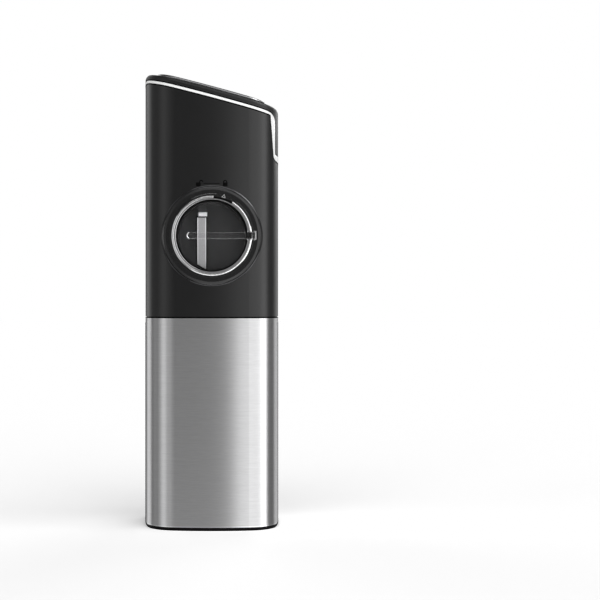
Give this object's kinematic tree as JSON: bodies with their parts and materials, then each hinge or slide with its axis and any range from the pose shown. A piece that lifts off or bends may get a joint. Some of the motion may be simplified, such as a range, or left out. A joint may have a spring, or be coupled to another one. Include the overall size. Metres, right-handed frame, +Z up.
{
  "type": "electric wine opener",
  "caption": "Cordless electric wine opener: neck guide and worm below, black housing with twist-lock dial and slanted top with thumb rocker.",
  "frame": {"origin": "centre of the base underside, on the axis of the bottle", "axes": "+Z up along the bottle axis, -Y out of the twist-lock dial, +X towards the thumb rocker at the low end of the slanted top"},
  "size_m": [0.066, 0.0683, 0.221],
  "materials": {
    "black_plastic": "fine satin black ABS",
    "board": "green solder mask",
    "bright_chrome": "polished chrome",
    "bronze": "sintered bronze",
    "cell_wrap": "shrink sleeve",
    "chip": "moulded package",
    "clear_plastic": "clear polycarbonate",
    "copper": "enamelled copper on laminations",
    "gear_plastic": "natural acetal",
    "gear_steel": "sintered steel",
    "gloss_black": "glossy black",
    "inner_plastic": "moulded glass-filled nylon",
    "magnet": "ferrite",
    "motor_steel": "nickel-plated sheet",
    "nickel": "nickel strip",
    "rubber_black": "soft black",
    "smoked_lens": "smoked clear polycarbonate",
    "steel_skin": "horizontally brushed stainless steel",
    "white_trim": "satin off-white",
    "worm_steel": "hard-plated steel",
    "zinc_screw": "zinc-plated"
  },
  "bodies": {
    "housing": {"base_ring": "black_plastic", "base_screws": "zinc_screw", "battery_cells": "cell_wrap", "bay_screws": "zinc_screw", "board_screws": "zinc_screw", "cage_screws": "zinc_screw", "capacitor": "motor_steel", "cell_contacts": "nickel", "cell_cradle": "inner_plastic", "charge_socket": "motor_steel", "cork_tube": "inner_plastic", "deck": "black_plastic", "dial_collar": "black_plastic", "driver_chips": "chip", "gear_case": "gear_plastic", "gearbox_screws": "zinc_screw", "housing_screws": "zinc_screw", "knife_blade": "worm_steel", "knife_ferrule": "bright_chrome", "knife_handle": "black_plastic", "light_pipe": "clear_plastic", "lower_bush": "bronze", "lower_sleeve": "steel_skin", "main_board": "board", "motor_can": "motor_steel", "motor_cap": "inner_plastic", "motor_magnets": "magnet", "motor_mount": "inner_plastic", "neck_guide": "black_plastic", "rocker_pin": "worm_steel", "socket_tongue": "chip", "switch_board": "board", "tact_switches": "chip", "thread_cage": "inner_plastic", "tool_bay": "inner_plastic", "top_cap": "black_plastic", "top_panel": "gloss_black", "trim_frame": "white_trim", "upper_bush": "bronze", "upper_housing": "black_plastic"},
    "drive": {"drive_tube": "gear_steel", "output_carrier": "gear_steel"},
    "carriage": {"worm_hub": "gear_plastic", "worm": "worm_steel"},
    "output_planet_1": {"output_planet_1": "gear_plastic"},
    "output_planet_2": {"output_planet_2": "gear_plastic"},
    "output_planet_3": {"output_planet_3": "gear_plastic"},
    "input_stage": {"input_carrier": "gear_plastic"},
    "input_planet_1": {"input_planet_1": "gear_plastic"},
    "input_planet_2": {"input_planet_2": "gear_plastic"},
    "input_planet_3": {"input_planet_3": "gear_plastic"},
    "rotor": {"motor_armature": "copper", "motor_pinion": "bronze"},
    "lid": {"dial_bezel": "bright_chrome", "dial_lens": "smoked_lens", "lid_skirt": "black_plastic", "grip_bar": "clear_plastic", "index_inlay": "rubber_black"},
    "rocker": {"rocker": "bright_chrome"}
  },
  "joints": [
    {"name": "drive_spin", "type": "hinge", "parent": "housing", "child": "drive", "pos_m": [0, 0, 0.12], "axis": [0, 0, 1], "range_deg": [-1620, 0]},
    {"name": "worm_feed", "type": "slide", "parent": "drive", "child": "carriage", "axis": [0, 0, 1], "range_m": [-0.04276, 0]},
    {"name": "output_planet_1_spin", "type": "hinge", "parent": "drive", "child": "output_planet_1", "pos_m": [0.009, 0, 0.15], "axis": [0, 0, 1], "range_deg": [0, 4320.2]},
    {"name": "output_planet_2_spin", "type": "hinge", "parent": "drive", "child": "output_planet_2", "pos_m": [-0.0045, 0.00779, 0.15], "axis": [0, 0, 1], "range_deg": [0, 4320.2]},
    {"name": "output_planet_3_spin", "type": "hinge", "parent": "drive", "child": "output_planet_3", "pos_m": [-0.0045, -0.00779, 0.15], "axis": [0, 0, 1], "range_deg": [0, 4320.2]},
    {"name": "input_stage_spin", "type": "hinge", "parent": "housing", "child": "input_stage", "pos_m": [0, 0, 0.153], "axis": [0, 0, 1], "range_deg": [-8100.5, 0]},
    {"name": "input_planet_1_spin", "type": "hinge", "parent": "input_stage", "child": "input_planet_1", "pos_m": [0.009, 0, 0.157], "axis": [0, 0, 1], "range_deg": [0, 21601]},
    {"name": "input_planet_2_spin", "type": "hinge", "parent": "input_stage", "child": "input_planet_2", "pos_m": [-0.0045, 0.00779, 0.157], "axis": [0, 0, 1], "range_deg": [0, 21601]},
    {"name": "input_planet_3_spin", "type": "hinge", "parent": "input_stage", "child": "input_planet_3", "pos_m": [-0.0045, -0.00779, 0.157], "axis": [0, 0, 1], "range_deg": [0, 21601]},
    {"name": "rotor_spin", "type": "hinge", "parent": "housing", "child": "rotor", "pos_m": [0, 0, 0.175], "axis": [0, 0, 1], "range_deg": [-40502.5, 0]},
    {"name": "dial_twist", "type": "hinge", "parent": "housing", "child": "lid", "pos_m": [0, -0.033, 0.14125], "axis": [0, -1, 0], "range_deg": [0, 29]},
    {"name": "rocker_tilt", "type": "hinge", "parent": "housing", "child": "rocker", "pos_m": [0.0274, 0, 0.1915], "axis": [0, 1, 0], "range_deg": [-3.5, 3.5], "stiffness_Nm_per_rad": 0.13}
  ],
  "couplings": [
    {"joint": "worm_feed", "follows": "drive_spin", "m_per_rad": 0.001512},
    {"joint": "output_planet_1_spin", "follows": "drive_spin", "ratio": -2.6667},
    {"joint": "output_planet_2_spin", "follows": "drive_spin", "ratio": -2.6667},
    {"joint": "output_planet_3_spin", "follows": "drive_spin", "ratio": -2.6667},
    {"joint": "input_stage_spin", "follows": "drive_spin", "ratio": 5},
    {"joint": "input_planet_1_spin", "follows": "drive_spin", "ratio": -13.333},
    {"joint": "input_planet_2_spin", "follows": "drive_spin", "ratio": -13.333},
    {"joint": "input_planet_3_spin", "follows": "drive_spin", "ratio": -13.333},
    {"joint": "rotor_spin", "follows": "drive_spin", "ratio": 25}
  ]
}
